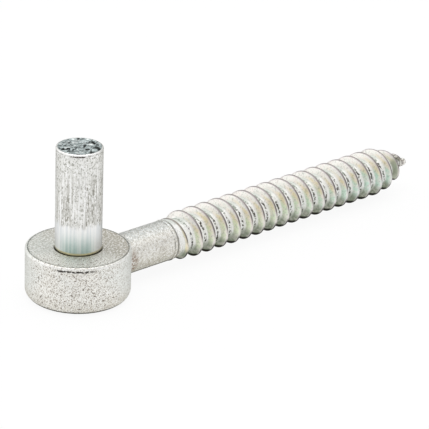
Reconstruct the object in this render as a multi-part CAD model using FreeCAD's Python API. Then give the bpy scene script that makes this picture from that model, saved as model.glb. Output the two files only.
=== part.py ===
import FreeCAD, Part
import math
import os

# Gate hinge pin: an upright pin fixed in the round eye of a forged lag screw.
# Millimetres. +Z runs up the pin, +X runs along the screw, and the origin is on the
# pin's axis at the top of the eye, where the gate's hinge sits.

# Pin: a length of round bar with a coned shoulder and a spigot that fills the eye's bore
pin_diameter = 11.4
pin_height = 26.0
pin_top_break = 0.3
seam_gap = 0.15
spigot_diameter = 9.5
rivet_countersink = 0.8

# Eye: the round collar at the head of the screw
eye_diameter = 25.8
eye_height = 12.7
eye_top_round = 0.5
eye_bottom_round = 2.2

# Screw: plain shank, rolled lag thread and gimlet point
screw_drop = 5.95
screw_reach = 113.0
shank_diameter = 10.2
shank_root_length = 1.2
shank_root_spread = 0.35
thread_diameter = 12.3
thread_root_diameter = 8.85
thread_pitch = 25.4 / 6
thread_turns = 20
thread_end_gap = 0.9
thread_root_width = 2.05
thread_crest_width = 0.55
thread_run_in_turns = 1.3
thread_run_out_turns = 0.7
point_length = 12.0
point_fullness = 0.36
point_end_diameter = 2.0
crest_phase = 36.88

# Derived sizes
pin_radius = pin_diameter / 2
spigot_radius = spigot_diameter / 2
eye_radius = eye_diameter / 2
shank_radius = shank_diameter / 2
shank_root_radius = shank_radius + shank_root_spread
crest_radius = thread_diameter / 2
root_radius = thread_root_diameter / 2
point_end_radius = point_end_diameter / 2
ridge_width = thread_pitch - thread_root_width
point_start = screw_reach - point_length
thread_end = screw_reach - thread_end_gap
thread_start = thread_end - thread_turns * thread_pitch
start_angle = 2 * math.pi * (thread_start - crest_phase) / thread_pitch

# Flat sides that each turn of the thread is made of
thread_sides = 30
smallest_facet = 1e-6


def vec(x, y, z):
    return FreeCAD.Vector(x, y, z)


def smooth(share):
    share = min(max(share, 0.0), 1.0)
    return share * share * (3 - 2 * share)


def revolved(outline):
    """Solid turned about the pin's axis from an outline of (radius, height) edges."""
    face = Part.Face(Part.Wire(outline))
    return face.revolve(vec(0, 0, 0), vec(0, 0, 1), 360)


def line(start, end):
    return Part.makeLine(vec(start[0], 0, start[1]), vec(end[0], 0, end[1]))


def corner_arc(start, corner_centre, radius, angle, end):
    middle = vec(corner_centre[0] + radius * math.cos(angle), 0, corner_centre[1] + radius * math.sin(angle))
    return Part.Arc(vec(start[0], 0, start[1]), middle, vec(end[0], 0, end[1])).toShape()


def polygon_edges(points):
    return [line(a, b) for a, b in zip(points, points[1:] + points[:1])]


def spigot_outline():
    """Corners of the spigot from its foot, spread into the eye's countersink, up to its coned shoulder."""
    return [
        (0, -eye_height),
        (spigot_radius + rivet_countersink, -eye_height),
        (spigot_radius, rivet_countersink - eye_height),
        (spigot_radius, spigot_radius - pin_radius - seam_gap),
    ]


def make_pin():
    return revolved(polygon_edges(spigot_outline() + [
        (pin_radius, -seam_gap),
        (pin_radius, pin_height - pin_top_break),
        (pin_radius - pin_top_break, pin_height),
        (0, pin_height),
    ]))


def make_bore():
    return revolved(polygon_edges(spigot_outline() + [(pin_radius + seam_gap, 0), (0, 0)]))


def make_collar():
    foot = -eye_height
    low = foot + eye_bottom_round
    inner_low = eye_radius - eye_bottom_round
    inner_top = eye_radius - eye_top_round
    return revolved([
        line((0, foot), (inner_low, foot)),
        corner_arc((inner_low, foot), (inner_low, low), eye_bottom_round, -math.pi / 4, (eye_radius, low)),
        line((eye_radius, low), (eye_radius, -eye_top_round)),
        corner_arc((eye_radius, -eye_top_round), (inner_top, -eye_top_round), eye_top_round, math.pi / 4,
                   (inner_top, 0)),
        line((inner_top, 0), (0, 0)),
        line((0, 0), (0, foot)),
    ])


def point_share(x):
    """How far x lies along the gimlet point, from 0 where it begins to 1 at its blunt end."""
    return min(max((x - point_start) / point_length, 0.0), 1.0)


def core_at(x):
    """Radius at the foot of the thread: shank, then rolled root, then the point's cone."""
    rolled = smooth((x - thread_start) / (thread_run_in_turns * thread_pitch))
    body = shank_radius + (root_radius - shank_radius) * rolled
    u = point_share(x)
    return body * (1 - u) + point_end_radius * u


def crest_at(x):
    """Radius at the crest before the ends of the ridge are faded out."""
    u = point_share(x)
    return crest_radius * (1 - u) * (1 + point_fullness * u) + point_end_radius * u


def ridge_growth(turn):
    """Share of the ridge's full section, growing at the shank and fading at the tip."""
    return smooth(turn / thread_run_in_turns) * smooth((thread_turns - turn) / thread_run_out_turns)


def ridge_point(turn, across, rise):
    """Point on the ridge after a number of turns. across runs from -1 to 1, rise from foot 0 to crest 1."""
    growth = ridge_growth(turn)
    x = thread_start + turn * thread_pitch + across * ridge_width / 2 * growth
    foot = core_at(x)
    radius = foot + (crest_at(x) - foot) * rise * growth
    angle = start_angle + 2 * math.pi * turn
    return vec(x, radius * math.cos(angle), radius * math.sin(angle) - screw_drop)


def ridge_row(across, rise):
    """Corners along one edge of the ridge, from the shank to the tip."""
    return [ridge_point(step / thread_sides, across, rise) for step in range(thread_turns * thread_sides + 1)]


def ring_row(x, radius):
    """Corners once round the screw's axis, from the angle where the ridge starts."""
    angles = [start_angle + 2 * math.pi * step / thread_sides for step in range(thread_sides)]
    return [vec(x, radius * math.cos(angle), radius * math.sin(angle) - screw_drop) for angle in angles]


def facets(near, far):
    """Flat triangles between two rows of corners, leaving out those that the ends of the ridge close up."""
    triangles = []
    for a, b, c, d in zip(near, near[1:], far, far[1:]):
        triangles += [(a, b, d), (a, d, c)]
    return [Part.Face(Part.makePolygon([p, q, r, p])) for p, q, r in triangles
            if (q - p).cross(r - p).Length > smallest_facet]


def make_thread():
    crest_share = thread_crest_width / ridge_width
    section = [(-1, 0), (-crest_share, 1), (crest_share, 1), (1, 0)]
    rows = [ridge_row(*at) for at in section]
    start_ring = ring_row(thread_start, shank_radius)
    end_ring = ring_row(thread_end, core_at(thread_end))
    tip_ring = ring_row(screw_reach, point_end_radius)
    faces = [Part.Face(Part.makePolygon(ring + ring[:1])) for ring in (start_ring, tip_ring)]
    for near, far in zip(rows, rows[1:]):
        faces += facets(near, far)
    faces += facets(start_ring + rows[-1], rows[0] + end_ring[1:] + end_ring[:1])
    faces += facets(end_ring + end_ring[:1], tip_ring + tip_ring[:1])
    skin = Part.makeCompound(faces)
    skin.sewShape()
    return Part.Solid(skin.Shells[0])


def make_shank():
    """Plain shank with the slightly spread root that it grows from inside the eye."""
    root_start = math.sqrt(eye_radius ** 2 - shank_root_radius ** 2) - shank_root_length
    root_end = eye_radius + shank_root_length
    root_foot = vec(root_start, 0, -screw_drop)
    shank_foot = vec(root_end, 0, -screw_drop)
    along = vec(1, 0, 0)
    root = Part.makeCone(shank_root_radius, shank_radius, root_end - root_start, root_foot, along)
    return root.fuse(Part.makeCylinder(shank_radius, thread_start - root_end, shank_foot, along))


def make_head():
    """Eye and plain shank, with the bore for the pin's spigot."""
    return make_collar().fuse(make_shank()).cut(make_bore())


def make_screw_eye():
    return make_head().fuse(make_thread())


def export(shape, name):
    solid = shape.Solids[0]
    solid.exportStep(os.path.join("parts", name + ".step"))
    print(name, len(shape.Solids), solid.isValid(), round(solid.Volume, 1))


if __name__ == "__main__":
    os.makedirs("parts", exist_ok=True)
    export(make_pin(), "hinge_pin")
    export(make_screw_eye(), "screw_eye")
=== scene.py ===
import math

import bpy
import numpy as np
from mathutils import Matrix, Vector, noise


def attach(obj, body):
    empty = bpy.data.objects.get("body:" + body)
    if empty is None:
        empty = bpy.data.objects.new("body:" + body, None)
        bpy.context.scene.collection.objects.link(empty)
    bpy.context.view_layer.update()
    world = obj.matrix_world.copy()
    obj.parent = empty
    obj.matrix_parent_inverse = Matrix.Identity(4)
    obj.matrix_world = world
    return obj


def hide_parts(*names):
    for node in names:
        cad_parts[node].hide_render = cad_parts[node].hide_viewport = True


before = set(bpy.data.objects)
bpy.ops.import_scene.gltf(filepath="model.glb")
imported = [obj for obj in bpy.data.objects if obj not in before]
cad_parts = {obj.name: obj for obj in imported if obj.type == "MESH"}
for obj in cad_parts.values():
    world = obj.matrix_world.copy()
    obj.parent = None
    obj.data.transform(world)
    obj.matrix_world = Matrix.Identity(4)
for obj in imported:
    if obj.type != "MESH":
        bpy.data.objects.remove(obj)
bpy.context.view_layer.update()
mm = 0.001    # sizes below are in millimetres, the frame is in metres
tiny = 1e-6    # keeps a division safe
markedSide = (-0.677, -0.736)    # the front side of pin and collar, which carries most marks and where highlights and shade are painted


# mesh helpers

def smoothStep(share):
    share = np.clip(share, 0, 1)
    return share * share * (3 - 2 * share)


def softNoise(points, size, seed):
    # smooth noise from -1 to 1, with bumps about size millimetres across
    shift = Vector((seed * 17.3, seed * 5.1, seed * 9.7))
    return np.array([noise.noise(Vector(p) / size + shift) for p in points])


def ridgeLine(values, middle, width):
    # 1 on a narrow line, falling away on both sides
    return np.exp(-((values - middle) / width) ** 2)


def markedShare(points):
    # 1 on the marked side of the pin's axis, -1 opposite
    out = np.maximum(np.hypot(points[:, 0], points[:, 1]), tiny)
    return (points[:, 0] * markedSide[0] + points[:, 1] * markedSide[1]) / out


def makePiece(name, points, faces):
    mesh = bpy.data.meshes.new(name)
    mesh.from_pydata([tuple(p) for p in np.array(points) * mm], [], faces)
    piece = bpy.data.objects.new(name, mesh)
    bpy.context.scene.collection.objects.link(piece)
    return piece


def turnOutline(name, outline, around, closed):
    # turns (radius, height) points about the pin's axis; a radius of 0 closes an end in one point
    angles = [2 * math.pi * k / around for k in range(around)]
    points = []
    rings = []
    for radius, height in outline:
        count = around if radius > 0 else 1
        rings.append([len(points) + k % count for k in range(around)])
        points += [(radius * math.cos(a), radius * math.sin(a), height) for a in angles[:count]]
    faces = []
    for low, high in zip(rings, rings[1:] + (rings[:1] if closed else [])):
        for k in range(around):
            corners = [low[k], low[(k + 1) % around], high[(k + 1) % around], high[k]]
            faces.append(list(dict.fromkeys(corners)))
    return makePiece(name, points, faces)


def run(start, end, step):
    # evenly spaced points from start up to, but not at, end
    count = max(1, round(math.dist(start, end) / step))
    way = np.array(end) - np.array(start)
    return [tuple(np.array(start) + way * i / count) for i in range(count)]


def bend(centre, radius, first, last, count):
    # points round a corner, angles in degrees
    angles = [math.radians(first + (last - first) * i / count) for i in range(count)]
    return [(centre[0] + radius * math.cos(a), centre[1] + radius * math.sin(a)) for a in angles]


def readRows(mesh, what):
    # three numbers for each point of the mesh, its "co" or its "normal"
    flat = np.zeros(len(mesh.vertices) * 3)
    mesh.vertices.foreach_get(what, flat)
    return flat.reshape(-1, 3)


def writePoints(mesh, points):
    mesh.vertices.foreach_set("co", (points * mm).ravel())
    mesh.update()


def addShare(mesh, name, values):
    # one number for each point, which a material reads by name
    share = mesh.attributes.new(name, "FLOAT", "POINT")
    share.data.foreach_set("value", np.asarray(values, np.float32))


def countTriangles(mesh):
    return sum(face.loop_total - 2 for face in mesh.polygons)


# hinge pin

bar = {
    "radius": 5.7, "top": 26.0, "rim": 0.38, "foot": -0.15,
    "spigot": 4.75, "shoulder": -1.1, "rivet": 5.55, "rivetTop": -11.9, "base": -12.7,
    "around": 300, "step": 0.25, "coarseStep": 0.6, "footStep": 0.8, "spigotStep": 2.0, "rimSides": 6,
    "endStep": 0.2, "endRing": 0.25,
    "bandTop": 7.4, "streak": 0.03, "grit": 0.04, "tear": 0.36,
    "burrLine": 25.4, "burrWidth": 0.2, "burrDepth": 0.07,
}
wallTop = bar["top"] - bar["rim"]
endRadius = bar["radius"] - bar["rim"]


def buildPin():
    rivetFoot = (bar["rivet"], bar["base"])
    spigotFoot = (bar["spigot"], bar["rivetTop"])
    spigotTop = (bar["spigot"], bar["shoulder"])
    wallFoot = (bar["radius"], bar["foot"])
    outline = [(0, bar["base"])]
    outline += run((bar["footStep"], bar["base"]), rivetFoot, bar["footStep"])
    outline += run(rivetFoot, spigotFoot, bar["coarseStep"])
    outline += run(spigotFoot, spigotTop, bar["spigotStep"])
    outline += run(spigotTop, wallFoot, bar["coarseStep"])
    outline += run(wallFoot, (bar["radius"], wallTop), bar["step"])
    outline += bend((endRadius, wallTop), bar["rim"], 0, 90, bar["rimSides"])
    outline += run((endRadius, bar["top"]), (bar["endRing"], bar["top"]), bar["endStep"])
    outline += [(0, bar["top"])]
    pin = turnOutline("hingePin", outline, bar["around"], False)
    roughenPin(pin.data)
    return pin


def roughenPin(mesh):
    points = readRows(mesh, "co") / mm
    radius = np.hypot(points[:, 0], points[:, 1])
    height = points[:, 2]
    marked = markedShare(points)
    onWall = (radius > bar["radius"] - 0.05) * (height > 0)
    # draw marks and grit lie above the smooth band at the foot
    along = points * (1, 1, 0.05)
    streaks = 0.6 * softNoise(along, 0.55, 1) + 0.4 * softNoise(along, 0.25, 2)
    grit = np.clip(softNoise(points, 0.45, 8), 0, 1)
    rough = smoothStep((height - bar["bandTop"]) / 0.8 + 0.5) * smoothStep((wallTop - height) / 0.4)
    inward = rough * (bar["streak"] * (0.5 + 0.5 * streaks) + bar["grit"] * grit)
    # a short line under the rim, where the shear pushed the edge over
    burr = ridgeLine(height, bar["burrLine"], bar["burrWidth"]) * smoothStep((marked - 0.88) / 0.08)
    inward += bar["burrDepth"] * burr
    share = (radius - inward * onWall) / np.maximum(radius, tiny)
    # the sheared end is torn
    onEnd = (height > wallTop) * smoothStep((endRadius + 0.1 - radius) / 0.5)
    tears = 0.55 * softNoise(points, 1.5, 3) + 0.45 * softNoise(points, 0.6, 4)
    points[:, 0] *= share
    points[:, 1] *= share
    points[:, 2] -= bar["tear"] * onEnd * np.clip(0.35 + 0.9 * tears, 0, 1)
    writePoints(mesh, points)
    addShare(mesh, "marked", marked)


# screw eye

collar = {
    "radius": 12.89, "top": 0.0, "base": -12.7, "topRound": 0.55, "baseRound": 2.2,
    "mouth": 5.85, "bore": 4.75, "shoulder": -1.1, "rivet": 5.55, "rivetTop": -11.9,
    "around": 288, "step": 0.3, "coarseStep": 0.6, "baseStep": 0.5, "boreStep": 2.0,
    "topSides": 6, "baseSides": 11,
    "foldLine": -1.0, "foldWidth": 0.22, "foldDepth": 0.1,
}

screw = {
    "drop": 5.95, "reach": 113.0, "buried": 9.5,
    "shank": 5.1, "rootSpread": 0.35, "rootLength": 1.2, "rootTaper": 3.6,
    "lip": 0.13, "lipPlace": 27.35, "lipWidth": 0.28,
    "crest": 6.15, "core": 4.425, "pitch": 25.4 / 6, "turns": 20, "endGap": 0.9, "phase": 36.88,
    "ridgeHalf": 1.09, "crestHalf": 0.18, "bow": 1.36, "rootBlend": 0.1, "runIn": 1.3, "runOut": 0.7,
    "point": 12.0, "fullness": 0.36, "hollow": 1.6, "tip": 1.0, "tipRound": 0.6, "tipBlunt": 0.02,
    "around": 90, "perPitch": 30, "endStep": 0.03, "shortBy": 0.01, "thinFlank": 1e-4, "deepest": -20,
}
skin = {"lumps": 0.05, "seamPlace": 2.42, "seamWander": 0.25, "seamWidth": 0.36, "seamPits": 0.16}
threadEnd = screw["reach"] - screw["endGap"]
threadStart = threadEnd - screw["turns"] * screw["pitch"]
startAngle = 2 * math.pi * (threadStart - screw["phase"]) / screw["pitch"]
groovePlace = screw["lipPlace"] + 2 * screw["lipWidth"]


def buildCollar():
    topIn = collar["radius"] - collar["topRound"]
    baseIn = collar["radius"] - collar["baseRound"]
    sideTop = collar["top"] - collar["topRound"]
    sideBase = collar["base"] + collar["baseRound"]
    mouth = (collar["mouth"], collar["top"])
    rivetFoot = (collar["rivet"], collar["base"])
    boreFoot = (collar["bore"], collar["rivetTop"])
    boreTop = (collar["bore"], collar["shoulder"])
    outline = run(mouth, (topIn, collar["top"]), collar["step"])
    outline += bend((topIn, sideTop), collar["topRound"], 90, 0, collar["topSides"])
    outline += run((collar["radius"], sideTop), (collar["radius"], sideBase), collar["step"])
    outline += bend((baseIn, sideBase), collar["baseRound"], 0, -90, collar["baseSides"])
    outline += run((baseIn, collar["base"]), rivetFoot, collar["baseStep"])
    outline += run(rivetFoot, boreFoot, collar["coarseStep"])
    outline += run(boreFoot, boreTop, collar["boreStep"])
    outline += run(boreTop, mouth, collar["coarseStep"])
    return turnOutline("screwEye", outline[::-1], collar["around"], True)


def threadPlace(x, angle):
    # turns since the ridge began, distance from the ridge's middle, and how much of the ridge has grown
    lag = (angle - startAngle) / (2 * math.pi)
    turnsIn = (x - threadStart) / screw["pitch"]
    turn = lag + np.round(turnsIn - lag)
    away = (turnsIn - turn) * screw["pitch"]
    growth = smoothStep(turn / screw["runIn"]) * smoothStep((screw["turns"] - turn) / screw["runOut"])
    return turn, away, growth


def ridgeRise(away, growth):
    # share of the ridge's height, 1 on its crest, running softly into the root
    flank = np.maximum(np.abs(away) - screw["crestHalf"] * growth, 0)
    width = np.maximum((screw["ridgeHalf"] - screw["crestHalf"]) * growth, screw["thinFlank"])
    raw = np.maximum(1 - (flank / width) ** screw["bow"], screw["deepest"])
    blend = screw["rootBlend"] ** 2
    return (raw + np.sqrt(raw * raw + blend)) / (1 + math.sqrt(1 + blend))


def bodyRadius(x):
    # shank with its spread root, the lip and groove that end it, and the thread's rolled core
    rolled = smoothStep((x - threadStart) / (screw["runIn"] * screw["pitch"]))
    spread = np.clip((collar["radius"] + screw["rootLength"] - x) / screw["rootTaper"], 0, 1)
    lip = ridgeLine(x, screw["lipPlace"], screw["lipWidth"])
    groove = ridgeLine(x, groovePlace, screw["lipWidth"])
    body = screw["shank"] + (screw["core"] - screw["shank"]) * rolled
    return body + screw["rootSpread"] * spread + screw["lip"] * (lip - groove)


def screwRadius(x, angle):
    turn, away, growth = threadPlace(x, angle)
    point = np.clip((x - screw["reach"] + screw["point"]) / screw["point"], 0, 1)
    tip = screw["tip"] * point
    core = bodyRadius(x) * (1 - point) ** screw["hollow"] + tip
    crest = screw["crest"] * (1 - point) * (1 + screw["fullness"] * point) + tip
    radius = core + (crest - core) * growth * ridgeRise(away, growth)
    ending = np.clip((x - screw["reach"] + screw["tipRound"]) / screw["tipRound"], 0, 1)
    return radius * np.sqrt(np.maximum(1 - ending ** 2, screw["tipBlunt"]))


def screwColumns():
    # columns of points along the screw, slanted with the thread so that its crests stay clean
    first = screw["buried"]
    last = screw["reach"] - screw["shortBy"]
    firstTurn = (first + screw["endStep"] - threadStart) / screw["pitch"]
    lastTurn = (last - screw["endStep"] - threadStart) / screw["pitch"]
    columns = []
    points = []
    for k in range(screw["around"]):
        angle = 2 * math.pi * k / screw["around"]
        lag = (angle - startAngle) / (2 * math.pi)
        lowest = math.ceil((firstTurn - lag) * screw["perPitch"])
        highest = math.floor((lastTurn - lag) * screw["perPitch"])
        turns = [lag + row / screw["perPitch"] for row in range(lowest, highest + 1)]
        x = np.array([first] + [threadStart + turn * screw["pitch"] for turn in turns] + [last])
        radius = screwRadius(x, angle)
        columns.append((lowest, highest, len(points)))
        points += list(zip(x, radius * math.cos(angle), radius * math.sin(angle) - screw["drop"]))
    return columns, points


def buildScrew():
    columns, points = screwColumns()
    around = screw["around"]

    def pointAt(k, row):
        # the columns join up one turn further along
        if k == around:
            return pointAt(0, row + screw["perPitch"])
        lowest, highest, offset = columns[k]
        return offset + min(max(row, lowest - 1), highest + 1) - lowest + 1

    low = min(c[0] for c in columns) - screw["perPitch"] - 1
    high = max(c[1] for c in columns) + 1
    faces = []
    for k in range(around):
        for row in range(low, high + 1):
            near = [pointAt(k, row), pointAt(k, row + 1)]
            far = [pointAt(k + 1, row + 1), pointAt(k + 1, row)]
            corners = list(dict.fromkeys(near + far))
            if len(corners) > 2:
                faces.append(corners)
    faces.append([pointAt(k, low) for k in range(around)])
    faces.append([pointAt(k, high + screw["perPitch"]) for k in range(around)][::-1])
    return makePiece("screwBody", points, faces)


def buildScrewEye():
    eye = buildCollar()
    body = buildScrew()
    union = eye.modifiers.new("union", "BOOLEAN")
    union.operation = "UNION"
    union.solver = "MANIFOLD"
    union.object = body
    graph = bpy.context.evaluated_depsgraph_get()
    joined = bpy.data.meshes.new_from_object(eye.evaluated_get(graph))
    eye.modifiers.clear()
    joined.materials.clear()
    eye.data = joined
    bpy.data.objects.remove(body)
    roughenEye(joined)
    return eye


def eyeShares(points):
    # where each point lies on the thread, round the screw and round the pin
    x = points[:, 0]
    y = points[:, 1]
    z = points[:, 2] + screw["drop"]
    turn, away, growth = threadPlace(x, np.arctan2(z, y))
    rise = ridgeRise(away, np.maximum(growth, 0.05)) * growth
    return {
        "onThread": smoothStep((turn + 0.1) / 0.2) * (x > threadStart - 3),
        "rise": np.clip(rise, 0, 1),
        "away": away,
        "past": np.where(away > 0, away, away + screw["pitch"]),    # from one crest on to the next
        "high": z / np.maximum(np.hypot(y, z), 0.1),
        "groove": ridgeLine(x, groovePlace, 0.8 * screw["lipWidth"]),
        "out": np.hypot(x, y),
        "marked": markedShare(points),
    }


def forgedDepth(points, normals, share):
    # how far the forged skin is worked in at each point
    x = points[:, 0]
    lumps = 0.5 + 0.3 * softNoise(points, 2.6, 5) + 0.2 * softNoise(points, 0.9, 6)
    depth = skin["lumps"] * lumps * (1 - 0.6 * share["onThread"])
    # ragged pits along the middle of the thread's root, where the rolled metal meets
    middle = skin["seamPlace"] + skin["seamWander"] * softNoise(points, 0.8, 9)
    seam = ridgeLine(share["past"], middle, skin["seamWidth"]) * (share["rise"] < 0.2)
    pits = np.clip(0.2 + softNoise(points, 0.5, 7), 0, 1)
    depth += skin["seamPits"] * seam * pits * share["onThread"]
    # a fold under the collar's rim on its marked side
    fold = ridgeLine(points[:, 2], collar["foldLine"], collar["foldWidth"])
    onSide = (share["out"] > collar["radius"] - 0.3) * (x < 8)
    depth += collar["foldDepth"] * fold * onSide * smoothStep((share["marked"] - 0.75) / 0.15)
    # none in the bore or at the tip's end
    inBore = (share["out"] < collar["mouth"] + 0.3) * (np.abs(normals[:, 2]) < 0.9)
    return depth * (1 - inBore) * smoothStep((screw["reach"] - 0.8 - x) / 1.5)


def roughenEye(mesh):
    # inward only, so that the sizes hold
    points = readRows(mesh, "co") / mm
    normals = readRows(mesh, "normal")
    share = eyeShares(points)
    depth = forgedDepth(points, normals, share)
    writePoints(mesh, points - normals * depth[:, None])
    for name, values in share.items():
        addShare(mesh, name, values)


pin = buildPin()
print("hinge pin:", countTriangles(pin.data), "triangles")
eye = buildScrewEye()
print("screw eye:", countTriangles(eye.data), "triangles")
for piece, node, slot in ((pin, "hinge_pin", "bar_zinc"), (eye, "screw_eye", "forged_zinc")):
    piece.data.shade_smooth()
    piece.data.set_sharp_from_angle(angle=math.radians(50))
    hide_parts(node)
    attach(piece, "root")


# finish helpers

grazingTone = (0.45, 0.45, 0.43)    # the metal is darker at grazing angles


def newFinish(name):
    finish = bpy.data.materials.new(name)
    finish.use_nodes = True
    tree = finish.node_tree
    return finish, tree, tree.nodes["Principled BSDF"]


def put(tree, socket, value):
    # links another node's output, or sets a plain value
    if isinstance(value, bpy.types.NodeSocket):
        tree.links.new(value, socket)
    elif isinstance(value, tuple):
        socket.default_value = (*value, 1)
    else:
        socket.default_value = value


def mixTones(tree, share, first, second):
    mix = tree.nodes.new("ShaderNodeMix")
    mix.data_type = "RGBA"
    put(tree, mix.inputs["Factor"], share)
    put(tree, mix.inputs[6], first)    # the node's two colours
    put(tree, mix.inputs[7], second)
    return mix.outputs[2]


def calc(tree, how, first, second):
    node = tree.nodes.new("ShaderNodeMath")
    node.operation = how
    put(tree, node.inputs[0], first)
    put(tree, node.inputs[1], second)
    return node.outputs["Value"]


def times(tree, *values):
    product = values[0]
    for value in values[1:]:
        product = calc(tree, "MULTIPLY", product, value)
    return product


def tint(tree, tone, colour, *shares):
    # lays a colour over a tone, as far as all the shares together say
    return mixTones(tree, times(tree, *shares), tone, colour)


def ease(tree, value, low, high, toLow=0.0, toHigh=1.0):
    step = tree.nodes.new("ShaderNodeMapRange")
    step.interpolation_type = "SMOOTHSTEP"
    put(tree, step.inputs["Value"], value)
    for name, number in (("From Min", low), ("From Max", high), ("To Min", toLow), ("To Max", toHigh)):
        step.inputs[name].default_value = number
    return step.outputs["Result"]


def band(tree, value, start, full, fade, end):
    # rises from start to full, falls from fade to end
    return times(tree, ease(tree, value, start, full), ease(tree, value, end, fade))


def readShare(tree, name):
    node = tree.nodes.new("ShaderNodeAttribute")
    node.attribute_name = name
    return node.outputs["Fac"]


def grain(tree, place, size, detail, rough, stretch=(1, 1, 1)):
    # noise of about that size in millimetres, pulled out along the axes of stretch
    pulled = tree.nodes.new("ShaderNodeVectorMath")
    pulled.operation = "DIVIDE"
    tree.links.new(place, pulled.inputs[0])
    pulled.inputs[1].default_value = [size * s for s in stretch]
    texture = tree.nodes.new("ShaderNodeTexNoise")
    texture.inputs["Scale"].default_value = 1
    texture.inputs["Detail"].default_value = detail
    texture.inputs["Roughness"].default_value = rough
    tree.links.new(pulled.outputs["Vector"], texture.inputs["Vector"])
    return texture.outputs["Fac"]


def readAll(tree, shares, grains):
    # all that a finish goes by: the place on the object in millimetres, shares of the mesh, and grains
    where = tree.nodes.new("ShaderNodeTexCoord")
    scaled = tree.nodes.new("ShaderNodeVectorMath")
    scaled.operation = "SCALE"
    scaled.inputs["Scale"].default_value = 1 / mm
    tree.links.new(where.outputs["Object"], scaled.inputs[0])
    place = scaled.outputs["Vector"]
    parts = tree.nodes.new("ShaderNodeSeparateXYZ")
    tree.links.new(place, parts.inputs["Vector"])
    at = {axis: parts.outputs[axis.upper()] for axis in "xyz"}
    at.update({name: readShare(tree, name) for name in shares})
    at.update({name: grain(tree, place, *look) for name, look in grains.items()})
    return at


def setMetal(tree, shader, tone, roughness):
    tree.links.new(tone, shader.inputs["Base Color"])
    put(tree, shader.inputs["Roughness"], roughness)
    put(tree, shader.inputs["Metallic"], 1)
    put(tree, shader.inputs["Specular Tint"], grazingTone)


def addBump(tree, shader, height, depth):
    # depth in millimetres
    bump = tree.nodes.new("ShaderNodeBump")
    bump.inputs["Distance"].default_value = depth * mm
    tree.links.new(height, bump.inputs["Height"])
    tree.links.new(bump.outputs["Normal"], shader.inputs["Normal"])


# Grains below give size in millimetres, detail, roughness and stretch.
# Marks give the places, in millimetres, between which a mark comes in, or comes in and goes again.

# drawn bar of the pin

barTones = {
    "pale": (0.87, 0.87, 0.84), "grit": (0.42, 0.42, 0.38), "mark": (0.36, 0.35, 0.31),
    "streak": (0.52, 0.51, 0.47), "gleam": (1.0, 1.0, 0.99), "smooth": (0.85, 0.87, 0.88),
    "teal": (0.45, 0.6, 0.57), "film": (0.8, 0.74, 0.45), "seam": (0.14, 0.12, 0.08),
    "burr": (0.07, 0.055, 0.05),
}
barGrains = {
    "grit": (0.45, 2, 0.65), "flecks": (0.55, 2, 0.6, (1, 1, 1.5)), "patches": (2.2, 2, 0.5, (1, 1, 2)),
    "rows": (0.6, 2, 0.5, (1, 1, 34)), "darkRows": (0.85, 1, 0.5, (1, 1, 45)),
    "dots": (0.36, 2, 0.6, (1, 1, 2.6)), "streaks": (0.5, 2, 0.55, (1, 1, 16)),
    "faint": (0.7, 2, 0.5, (1, 1, 60)),
}
barMarks = {
    "teal": (7.0, 0.8), "film": (0.7, 0.42), "seam": (0.1, -0.02),
    "crowd": (20, 23), "rows": (22, 18), "streaks": (23, 18), "dots": (20, 17),
    "thickBurr": (25.18, 25.3, 25.52, 25.64), "thinBurr": (25.38, 25.46, 25.54, 25.64),
    "rim": (wallTop - 0.02, wallTop + 0.12), "backRim": (wallTop + 0.1, wallTop + 0.3),
    "bandEdge": (bar["bandTop"] - 0.9, bar["bandTop"] + 0.6),
}


def smoothFoot(tree, at):
    # smooth band with bright streaks, and a painted teal reflection of the collar's top, deepening
    # towards the foot on the marked side
    tone = mixTones(tree, ease(tree, at["faint"], 0.38, 0.62), barTones["smooth"], barTones["gleam"])
    # painted reflection of the collar's top, teal low down on the marked side
    low = ease(tree, at["z"], *barMarks["teal"])
    uneven = ease(tree, at["faint"], 0.7, 0.45, 0.6, 1.0)
    return tint(tree, tone, barTones["teal"], low, uneven, ease(tree, at["marked"], 0.55, 0.97), 0.95)


def drawnWall(tree, at):
    # grit and flecks, bright draw lines, and rows of dark dots
    z = at["z"]
    crowd = ease(tree, at["patches"], 0.3, 0.6, 0.45, 0.85)
    crowd = calc(tree, "ADD", crowd, ease(tree, z, *barMarks["crowd"], 0.0, 0.3))
    tone = tint(tree, barTones["pale"], barTones["grit"], ease(tree, at["grit"], 0.51, 0.6), crowd)
    tone = tint(tree, tone, barTones["gleam"], ease(tree, at["flecks"], 0.55, 0.62))
    lines = ease(tree, at["rows"], 0.53, 0.58)
    tone = tint(tree, tone, barTones["gleam"], lines, ease(tree, z, *barMarks["rows"], 0.3, 1.0))
    streaks = ease(tree, at["streaks"], 0.5, 0.6)
    tone = tint(tree, tone, barTones["streak"], streaks, ease(tree, z, *barMarks["streaks"]), 0.6)
    dots = times(tree, ease(tree, at["darkRows"], 0.54, 0.6), ease(tree, at["dots"], 0.5, 0.6))
    return tint(tree, tone, barTones["mark"], dots, ease(tree, z, *barMarks["dots"]))


def pinRim(tree, tone, at):
    # painted highlight on the rim, painted shade on it at the back, and painted shade in the burr line
    # under it
    z = at["z"]
    marked = at["marked"]
    # painted highlight along the rim, strongest on the marked side
    bright = ease(tree, marked, -0.1, 0.7, 0.1, 0.75)
    tone = tint(tree, tone, barTones["gleam"], ease(tree, z, *barMarks["rim"]), bright)
    # painted shade on the rim at the back
    back = ease(tree, marked, 0.0, -0.5)
    tone = tint(tree, tone, barTones["mark"], ease(tree, z, *barMarks["backRim"]), back, 0.7)
    # painted shade in the burr line under the rim: thick on the marked side, thin further round
    thick = times(tree, band(tree, z, *barMarks["thickBurr"]), ease(tree, marked, 0.93, 0.97))
    thick = times(tree, thick, ease(tree, at["dots"], 0.36, 0.46))
    thin = times(tree, band(tree, z, *barMarks["thinBurr"]), ease(tree, marked, 0.1, 0.5))
    thin = times(tree, thin, ease(tree, at["grit"], 0.4, 0.55, 0.1, 0.5))
    return tint(tree, tone, barTones["burr"], calc(tree, "MAXIMUM", thick, thin))


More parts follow.
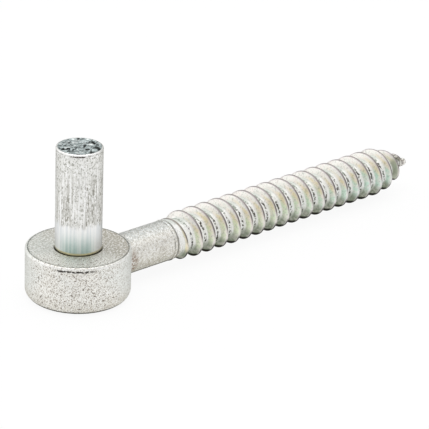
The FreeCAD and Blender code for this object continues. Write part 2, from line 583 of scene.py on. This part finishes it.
def pinSeam(tree, tone, at):
    # yellow film, then the dark seam at the collar
    film = ease(tree, at["z"], *barMarks["film"])
    tone = tint(tree, tone, barTones["film"], film, ease(tree, at["marked"], 0.3, 0.9, 0.5, 0.95))
    return tint(tree, tone, barTones["seam"], ease(tree, at["z"], *barMarks["seam"]))


def barZinc():
    finish, tree, shader = newFinish("barZinc")
    at = readAll(tree, ["marked"], barGrains)
    ragged = calc(tree, "ADD", at["z"], ease(tree, at["rows"], 0.3, 0.7, -0.5, 0.5))
    rough = ease(tree, ragged, *barMarks["bandEdge"])
    tone = mixTones(tree, rough, smoothFoot(tree, at), drawnWall(tree, at))
    tone = pinRim(tree, tone, at)
    tone = pinSeam(tree, tone, at)
    setMetal(tree, shader, tone, ease(tree, at["grit"], 0.3, 0.7, 0.4, 0.52))
    height = calc(tree, "ADD", times(tree, at["grit"], -1.0), at["rows"])
    addBump(tree, shader, times(tree, height, rough), 0.09)
    return finish


# torn end of the pin

endTones = {"black": (0.045, 0.05, 0.05), "steel": (0.47, 0.53, 0.53), "white": (0.84, 0.87, 0.86)}
endGrains = {"torn": (1.9, 2, 0.6), "fine": (0.8, 3, 0.65, (1.6, 1, 1))}


def shearedEnd():
    finish, tree, shader = newFinish("shearedEnd")
    at = readAll(tree, [], endGrains)
    tone = mixTones(tree, ease(tree, at["fine"], 0.54, 0.66), endTones["steel"], endTones["white"])
    tone = tint(tree, tone, endTones["black"], ease(tree, at["fine"], 0.44, 0.35))
    tone = tint(tree, tone, endTones["black"], ease(tree, at["torn"], 0.42, 0.36))
    setMetal(tree, shader, tone, 0.42)
    addBump(tree, shader, calc(tree, "ADD", at["torn"], times(tree, at["fine"], 0.5)), 0.3)
    return finish


# forging of the collar and shank

forgedTones = {
    "cool": (0.93, 0.95, 0.92), "warm": (0.97, 0.96, 0.91), "low": (0.8, 0.78, 0.71),
    "grit": (0.5, 0.47, 0.41), "speck": (0.42, 0.37, 0.32), "pock": (0.2, 0.16, 0.13),
    "fleck": (0.98, 0.98, 0.96), "shank": (0.89, 0.875, 0.82), "shankLow": (0.62, 0.6, 0.51),
    "shankTop": (0.6, 0.63, 0.62), "topCool": (0.69, 0.73, 0.69), "topWarm": (0.5, 0.48, 0.41),
    "topFront": (0.98, 1.0, 0.94), "rust": (0.25, 0.145, 0.085), "line": (0.06, 0.055, 0.05),
    "under": (0.1, 0.095, 0.08), "rimLine": (0.16, 0.17, 0.16),
}
forgedGrains = {
    "grit": (0.36, 2, 0.6), "fine": (0.33, 2, 0.6), "flecks": (0.42, 2, 0.6),
    "broad": (6, 2, 0.5), "mottle": (0.6, 2, 0.65), "pocks": (0.62, 1, 0.5),
}
forgedMarks = {
    "collarEnd": (13.3, 12.7), "topLevel": (-0.25, -0.1), "topEdge": (12.6, 12.3),
    "lowShade": (-7.5, -11.8), "topFront": (6, 8.5), "topWarm": (-9, 9), "pinRing": (6.2, 5.98),
    "rimLine": (11.95, 12.15, 12.3, 12.45), "rim": (-0.7, -0.5, -0.3, -0.08), "rimOut": (12.3, 12.5),
    "fold": (-1.32, -1.15, -0.88, -0.7), "lowEdge": (-11.5, -11.95),
    "rust": (12.2, 12.9, 13.6, 15.4), "nearSide": (0.5, -1.5), "lipLine": (26.5, 26.7, 26.8, 27.0),
    "shankStart": (12.8, 13.4),
}


def mottled(tree, tone, at, darkest, dark, light):
    # darker and lighter patches, with the strength of each
    tone = tint(tree, tone, forgedTones["grit"], ease(tree, at["mottle"], 0.48, darkest), dark)
    return tint(tree, tone, forgedTones["fleck"], ease(tree, at["mottle"], 0.52, 0.6), light)


def collarSide(tree, at):
    # warmer on the marked side, with painted shade low down
    warmth = ease(tree, calc(tree, "ADD", at["marked"], at["broad"]), 0.9, 1.5)
    tone = mixTones(tree, warmth, forgedTones["cool"], forgedTones["warm"])
    # painted shade towards the base
    lowShade = ease(tree, at["z"], *forgedMarks["lowShade"])
    return tint(tree, tone, forgedTones["low"], lowShade, ease(tree, at["broad"], 0.35, 0.6, 0.5, 1.0))


def shankSide(tree, at):
    # painted shade underneath, and a painted grey-blue reflection of the sky along the top
    # painted shade underneath
    low = ease(tree, at["high"], 0.35, -0.55)
    tone = mixTones(tree, low, forgedTones["shank"], forgedTones["shankLow"])
    # painted reflection of the sky along the top
    tone = tint(tree, tone, forgedTones["shankTop"], ease(tree, at["high"], 0.7, 0.95))
    return mottled(tree, tone, at, 0.38, 0.55, 0.55)


def collarTop(tree, at):
    # cool on the left, warm towards the screw, darker than the sides as painted shade, and brightest in
    # front as painted light
    # painted shade: the top's tones are darker than the side's
    warmth = ease(tree, at["x"], *forgedMarks["topWarm"])
    tone = mixTones(tree, warmth, forgedTones["topCool"], forgedTones["topWarm"])
    # painted light on the top's front, out towards the rim
    front = ease(tree, at["marked"], 0.3, 0.85)
    outer = ease(tree, at["out"], *forgedMarks["topFront"])
    tone = tint(tree, tone, forgedTones["topFront"], front, outer)
    return mottled(tree, tone, at, 0.4, 0.5, 0.8)


def forgedGrit(tree, tone, at):
    # grit and flecks all over, specks and pocks crowded on the collar's marked side
    tone = tint(tree, tone, forgedTones["grit"], ease(tree, at["grit"], 0.5, 0.64), 0.6)
    tone = tint(tree, tone, forgedTones["fleck"], ease(tree, at["flecks"], 0.53, 0.62), 0.75)
    crowd = times(tree, ease(tree, at["marked"], 0.35, 0.92), at["onCollar"])
    crowd = ease(tree, crowd, 0.0, 1.0, 0.22, 0.85)
    tone = tint(tree, tone, forgedTones["speck"], ease(tree, at["fine"], 0.53, 0.62), crowd)
    return tint(tree, tone, forgedTones["pock"], ease(tree, at["pocks"], 0.65, 0.71), crowd)


def rimLines(tree, tone, at):
    # dark ring round the pin, a painted dark reflection as a line inside the rim, and a painted highlight
    # on the rim itself
    out = at["out"]
    ring = times(tree, ease(tree, out, *forgedMarks["pinRing"]), at["onTop"])
    tone = tint(tree, tone, forgedTones["line"], ring, ease(tree, at["marked"], -0.1, 0.35))
    # painted dark reflection: a broken line just inside the rim
    line = times(tree, band(tree, out, *forgedMarks["rimLine"]), at["onTop"])
    tone = tint(tree, tone, forgedTones["rimLine"], line, ease(tree, at["flecks"], 0.38, 0.5), 0.9)
    # painted highlight on the rim's round, strongest on the marked side
    rim = times(tree, band(tree, at["z"], *forgedMarks["rim"]), ease(tree, out, *forgedMarks["rimOut"]))
    rim = times(tree, rim, at["onCollar"], ease(tree, at["flecks"], 0.35, 0.55))
    return tint(tree, tone, forgedTones["fleck"], rim, ease(tree, at["marked"], -0.3, 0.5, 0.35, 1.0))


def sideLines(tree, tone, at):
    # painted shade in the fold under the rim, and painted shade along the dark lower edge
    wander = calc(tree, "ADD", at["z"], ease(tree, at["pocks"], 0.35, 0.65, -0.05, 0.05))
    # painted shade in the fold, on the marked side
    fold = times(tree, band(tree, wander, *forgedMarks["fold"]), ease(tree, at["marked"], 0.9, 0.97))
    fold = times(tree, fold, ease(tree, at["mottle"], 0.36, 0.44))
    tone = tint(tree, tone, forgedTones["line"], fold, at["onCollar"])
    # painted shade along the lower edge, where it curls under
    low = times(tree, ease(tree, at["z"], *forgedMarks["lowEdge"]), at["onCollar"])
    return tint(tree, tone, forgedTones["under"], low, ease(tree, at["fine"], 0.36, 0.5, 0.5, 1.0))


def shankMarks(tree, tone, at):
    # rust at the root, a broken line before the lip, painted shade on the underside and in the groove
    rust = times(tree, band(tree, at["x"], *forgedMarks["rust"]), ease(tree, at["mottle"], 0.45, 0.55))
    rust = times(tree, rust, band(tree, at["high"], -0.7, -0.4, 0.1, 0.75))
    tone = tint(tree, tone, forgedTones["rust"], rust, ease(tree, at["y"], *forgedMarks["nearSide"]), 0.8)
    line = times(tree, band(tree, at["x"], *forgedMarks["lipLine"]), ease(tree, at["mottle"], 0.44, 0.54))
    tone = tint(tree, tone, forgedTones["under"], line, 0.7)
    # painted shade on the shank's underside
    onShank = ease(tree, at["x"], *forgedMarks["shankStart"])
    tone = tint(tree, tone, forgedTones["under"], ease(tree, at["high"], -0.62, -0.78), onShank)
    # painted shade in the groove
    return tint(tree, tone, forgedTones["under"], at["groove"], 0.8)


def forgedZinc():
    finish, tree, shader = newFinish("forgedZinc")
    at = readAll(tree, ["marked", "out", "high", "groove"], forgedGrains)
    at["onCollar"] = ease(tree, at["x"], *forgedMarks["collarEnd"])
    level = ease(tree, at["z"], *forgedMarks["topLevel"])
    at["onTop"] = times(tree, level, ease(tree, at["out"], *forgedMarks["topEdge"]), at["onCollar"])
    tone = mixTones(tree, at["onCollar"], shankSide(tree, at), collarSide(tree, at))
    tone = mixTones(tree, at["onTop"], tone, collarTop(tree, at))
    for layer in (forgedGrit, rimLines, sideLines, shankMarks):
        tone = layer(tree, tone, at)
    setMetal(tree, shader, tone, ease(tree, at["fine"], 0.35, 0.65, 0.46, 0.6))
    height = calc(tree, "SUBTRACT", times(tree, at["flecks"], 0.5), times(tree, at["fine"], 0.7))
    addBump(tree, shader, height, 0.16)
    return finish


# rolled thread

threadTones = {
    "root": (0.97, 0.97, 0.95), "rootTop": (0.72, 0.75, 0.71), "rootLow": (0.55, 0.58, 0.5),
    "speck": (0.07, 0.065, 0.055), "edge": (0.19, 0.165, 0.16), "lilac": (0.84, 0.76, 0.78),
    "cream": (0.96, 0.94, 0.9), "top": (0.9, 0.89, 0.84), "gold": (0.88, 0.8, 0.58),
    "sage": (0.8, 0.86, 0.66), "teal": (0.68, 0.85, 0.75), "deep": (0.26, 0.29, 0.22),
    "last": (0.5, 0.53, 0.43), "tip": (0.24, 0.24, 0.2), "under": (0.03, 0.03, 0.025),
    "shade": (0.38, 0.42, 0.37), "blush": (0.93, 0.86, 0.82), "brown": (0.22, 0.18, 0.14),
}
threadGrains = {
    "fine": (0.4, 2, 0.6), "broad": (8, 2, 0.6), "patch": (1.3, 2, 0.5), "ragged": (0.56, 2, 0.6),
}
threadMarks = {
    "greening": (50, 95), "firstRidge": (31.5, 30.5), "lastTurn": (102.8, 104.2, 107.2, 108.4),
    "smudge": (107.5, 108.5), "lug": (109.8, 110.6), "goldSide": (1.0, -1.0), "nearSide": (0.5, -1.0),
    "pits": (1.98, 2.14, 2.5, 2.72), "pitsStart": (29.3, 30.2),
    "rootShade": (1.5, 1.9, 2.4, 2.8), "shadeSide": (2.5, 1.5),
    "sheen": (-0.5, -0.2, 0.1, 0.3), "edge": (-0.32, -0.08, 0.24, 0.42), "edgeSide": (3.8, 2.8),
    "lowLine": (-0.36, -0.18, 0.25, 0.45),
}


def rainbowFilm(tree, at):
    # cream on top, gold, then green below, warmer towards the crest, and painted shade underneath
    sway = ease(tree, at["broad"], 0.3, 0.7, -0.18, 0.18)
    sway = calc(tree, "ADD", sway, ease(tree, at["rise"], 0.2, 1.0, -0.15, 0.15))
    sway = calc(tree, "ADD", at["high"], sway)
    tone = mixTones(tree, ease(tree, at["high"], 0.8, 1.0), threadTones["cream"], threadTones["top"])
    golden = times(tree, ease(tree, sway, 0.95, 0.7), ease(tree, at["rise"], 0.15, 0.6))
    tone = tint(tree, tone, threadTones["gold"], golden, ease(tree, at["y"], *threadMarks["goldSide"]))
    greening = ease(tree, at["x"], *threadMarks["greening"])
    green = mixTones(tree, greening, threadTones["sage"], threadTones["teal"])
    tone = tint(tree, tone, green, ease(tree, sway, 0.62, 0.2))
    first = ease(tree, at["x"], *threadMarks["firstRidge"])
    tone = tint(tree, tone, threadTones["gold"], first, ease(tree, at["rise"], 0.1, 0.4))
    # painted shade on the underside
    return tint(tree, tone, threadTones["deep"], ease(tree, at["high"], -0.12, -0.62))


def filmMottle(tree, tone, at):
    # blush and shade in small patches, and the duller last turn
    blush = times(tree, ease(tree, at["patch"], 0.48, 0.6), ease(tree, at["high"], 0.1, -0.5, 0.55, 0.25))
    tone = tint(tree, tone, threadTones["blush"], blush)
    tone = tint(tree, tone, threadTones["shade"], ease(tree, at["ragged"], 0.54, 0.66), 0.4)
    last = band(tree, at["x"], *threadMarks["lastTurn"])
    return tint(tree, tone, threadTones["last"], last, ease(tree, at["high"], 0.98, 0.6))


def rootTone(tree, at):
    # white in the middle, greyer on top and below as painted shade
    # painted shade greys the root on top and low down
    tone = mixTones(tree, ease(tree, at["high"], 0.86, 0.99), threadTones["root"], threadTones["rootTop"])
    return tint(tree, tone, threadTones["rootLow"], ease(tree, at["high"], -0.15, -0.6))


def pointMarks(tree, tone, at):
    # smudged point with a bright, lined lug at its tip
    smudge = ease(tree, at["x"], *threadMarks["smudge"])
    tone = tint(tree, tone, threadTones["tip"], smudge, ease(tree, at["ragged"], 0.44, 0.54, 0.25, 1.0))
    lines = ease(tree, at["ragged"], 0.5, 0.58)
    lined = mixTones(tree, lines, threadTones["cream"], threadTones["brown"])
    return tint(tree, tone, lined, ease(tree, at["x"], *threadMarks["lug"]))


def crestSheen(tree, tone, at):
    # lilac along the crest, and fine specks all over
    sheen = times(tree, band(tree, at["away"], *threadMarks["sheen"]), ease(tree, at["rise"], 0.5, 0.8))
    tone = tint(tree, tone, threadTones["lilac"], sheen, 0.6)
    return tint(tree, tone, threadTones["deep"], ease(tree, at["fine"], 0.56, 0.7), 0.3)


def rootMarks(tree, tone, at):
    # ragged dark pits along the root, fewer on top and on some turns, and painted shade in smudges on top
    pits = times(tree, at["seam"], ease(tree, at["ragged"], 0.465, 0.525))
    pits = times(tree, pits, ease(tree, at["broad"], 0.31, 0.4), ease(tree, at["high"], 0.98, 0.8))
    tone = tint(tree, tone, threadTones["speck"], pits, ease(tree, at["x"], *threadMarks["pitsStart"]))
    # painted shade on the root near the top, on the near side
    shade = band(tree, at["past"], *threadMarks["rootShade"])
    shade = times(tree, shade, ease(tree, at["high"], 0.72, 0.88), ease(tree, at["ragged"], 0.42, 0.52))
    return tint(tree, tone, threadTones["shade"], shade, ease(tree, at["y"], *threadMarks["shadeSide"]))


def crestEdges(tree, tone, at):
    # painted shade as a dark line along the crest, from its top down the near side
    away = calc(tree, "ADD", at["away"], ease(tree, at["high"], 0.5, 1.0, 0.0, 0.1))
    edge = times(tree, band(tree, away, *threadMarks["edge"]), ease(tree, at["high"], -0.2, 0.3))
    edge = times(tree, edge, ease(tree, at["y"], *threadMarks["edgeSide"]))
    return tint(tree, tone, threadTones["edge"], edge, ease(tree, at["high"], 0.3, 0.9, 1.0, 0.8))


def lowMarks(tree, tone, at):
    # painted shade: black underside, the line that runs up from it along each crest, and the groove
    # before the thread
    nearSide = ease(tree, at["y"], *threadMarks["nearSide"])
    low = calc(tree, "ADD", at["high"], ease(tree, at["rise"], 0.2, 0.95, 0.34, 0.0))
    under = times(tree, ease(tree, low, -0.65, -0.77), ease(tree, at["rise"], 0.05, 0.2))
    tone = tint(tree, tone, threadTones["under"], under, nearSide)
    line = band(tree, at["away"], *threadMarks["lowLine"])
    line = times(tree, line, band(tree, at["high"], -0.95, -0.75, -0.5, -0.28))
    tone = tint(tree, tone, threadTones["under"], line, nearSide, 0.85)
    return tint(tree, tone, threadTones["edge"], at["groove"], 0.8)


def rolledZinc():
    finish, tree, shader = newFinish("rolledZinc")
    at = readAll(tree, ["rise", "away", "past", "high", "groove"], threadGrains)
    wander = calc(tree, "ADD", at["past"], ease(tree, at["patch"], 0.3, 0.7, -0.2, 0.2))
    at["seam"] = times(tree, band(tree, wander, *threadMarks["pits"]), ease(tree, at["rise"], 0.2, 0.08))
    film = filmMottle(tree, rainbowFilm(tree, at), at)
    tone = mixTones(tree, ease(tree, at["rise"], 0.04, 0.3), rootTone(tree, at), film)
    for layer in (pointMarks, crestSheen, rootMarks, crestEdges, lowMarks):
        tone = layer(tree, tone, at)
    setMetal(tree, shader, tone, ease(tree, at["rise"], 0.05, 0.4, 0.55, 0.44))
    metallic = ease(tree, at["rise"], 0.05, 0.4, 0.35, 1.0)    # the root is matt
    put(tree, shader.inputs["Metallic"], metallic)
    height = calc(tree, "SUBTRACT", times(tree, at["fine"], 0.5), times(tree, at["ragged"], at["seam"]))
    addBump(tree, shader, height, 0.14)
    return finish


# finishes on the pieces

def dressPin():
    for finish in (barZinc(), shearedEnd()):
        pin.data.materials.append(finish)
    inner = (endRadius + 0.02) * mm
    level = (bar["top"] - 0.6) * mm    # below the deepest tear
    for face in pin.data.polygons:
        onEnd = face.center.z > level and math.hypot(face.center.x, face.center.y) < inner
        face.material_index = int(onEnd)


def dressEye():
    for finish in (forgedZinc(), rolledZinc()):
        eye.data.materials.append(finish)
    share = eye.data.attributes["onThread"].data
    for face in eye.data.polygons:
        onThread = sum(share[v].value for v in face.vertices) > 0.5 * len(face.vertices)
        face.material_index = int(onThread)


dressPin()
dressEye()
print("finishes ready")


# studio

studio = {
    "floor": 0.93, "floorGlow": 0.92, "floorHalf": 8.0,
    "facing": (-0.677, -0.736), "sky": 0.84, "left": 0.38, "front": 0.55, "horizon": 0.3,
    "softbox": 2.4, "softboxSize": 0.8, "softboxPlace": (0.04, 0, 0.75),
}


def makePaper():
    paper, tree, shader = newFinish("paper")
    put(tree, shader.inputs["Base Color"], (studio["floor"],) * 3)
    put(tree, shader.inputs["Roughness"], 1)
    put(tree, shader.inputs["Specular IOR Level"], 0)
    # seen straight or in the metal, the paper glows a little, so that its shadow stays but is faint
    rays = tree.nodes.new("ShaderNodeLightPath")
    seen = calc(tree, "MAXIMUM", rays.outputs["Is Camera Ray"], rays.outputs["Is Glossy Ray"])
    seen = calc(tree, "MAXIMUM", seen, rays.outputs["Is Transmission Ray"])
    glow = tree.nodes.new("ShaderNodeEmission")
    put(tree, glow.inputs["Color"], (1, 1, 1))
    both = tree.nodes.new("ShaderNodeMixShader")
    tree.links.new(times(tree, seen, studio["floorGlow"]), both.inputs["Fac"])
    tree.links.new(shader.outputs["BSDF"], both.inputs[1])
    tree.links.new(glow.outputs["Emission"], both.inputs[2])
    tree.links.new(both.outputs["Shader"], tree.nodes["Material Output"].inputs["Surface"])
    return paper


def buildFloor():
    half = studio["floorHalf"]
    level = collar["base"] * mm
    mesh = bpy.data.meshes.new("floor")
    corners = [(-half, -half, level), (half, -half, level), (half, half, level), (-half, half, level)]
    mesh.from_pydata(corners, [], [(0, 1, 2, 3)])
    mesh.materials.append(makePaper())
    floor = bpy.data.objects.new("floor", mesh)
    bpy.context.scene.collection.objects.link(floor)


def towards(tree, direction, way):
    # how far a direction of the sky points that way, from -1 to 1
    share = tree.nodes.new("ShaderNodeVectorMath")
    share.operation = "DOT_PRODUCT"
    share.inputs[1].default_value = way
    tree.links.new(direction, share.inputs[0])
    return share.outputs["Value"]


def buildSky():
    # pale sky, brighter on the left, darker in front and along the far horizon
    world = bpy.data.worlds.new("studio")
    bpy.context.scene.world = world
    world.use_nodes = True
    tree = world.node_tree
    direction = tree.nodes.new("ShaderNodeTexCoord").outputs["Generated"]
    facing = studio["facing"]
    front = towards(tree, direction, (*facing, 0))
    left = towards(tree, direction, (facing[1], -facing[0], 0))
    up = towards(tree, direction, (0, 0, 1))
    light = ease(tree, front, 0.1, 0.8, studio["sky"], studio["front"])
    light = calc(tree, "ADD", light, ease(tree, left, 0.1, 0.9, 0.0, studio["left"]))
    gap = times(tree, ease(tree, front, -0.3, -0.7), ease(tree, up, 0.28, 0.08))
    light = times(tree, light, ease(tree, gap, 0.0, 1.0, 1.0, studio["horizon"]))
    background = tree.nodes["Background"]
    put(tree, background.inputs["Color"], (1, 1, 1))
    put(tree, background.inputs["Strength"], light)


def buildSoftbox():
    lamp = bpy.data.lights.new("softbox", "AREA")
    lamp.energy = studio["softbox"]
    lamp.size = studio["softboxSize"]
    box = bpy.data.objects.new("softbox", lamp)
    box.location = studio["softboxPlace"]
    bpy.context.scene.collection.objects.link(box)


photoCamera = {
    "place": (-338.947, -416.146, 244.823), "lens": 205.297, "sensor": 36,
    "along": (0.62016, 0.67371, -0.4019), "right": (0.74552, -0.66558, 0.03466),
}


def buildCamera():
    back = -Vector(photoCamera["along"]).normalized()
    right = Vector(photoCamera["right"])
    right = (right - back * right.dot(back)).normalized()
    data = bpy.data.cameras.new("camera")
    data.sensor_width = photoCamera["sensor"]
    data.lens = photoCamera["lens"]
    camera = bpy.data.objects.new("camera", data)
    turned = Matrix((right, back.cross(right), back)).transposed().to_4x4()
    camera.matrix_world = Matrix.Translation(Vector(photoCamera["place"]) * mm) @ turned
    bpy.context.scene.collection.objects.link(camera)
    bpy.context.scene.camera = camera


buildFloor()
buildSky()
buildSoftbox()
buildCamera()
bpy.context.scene.view_settings.view_transform = "Standard"
print("studio ready")
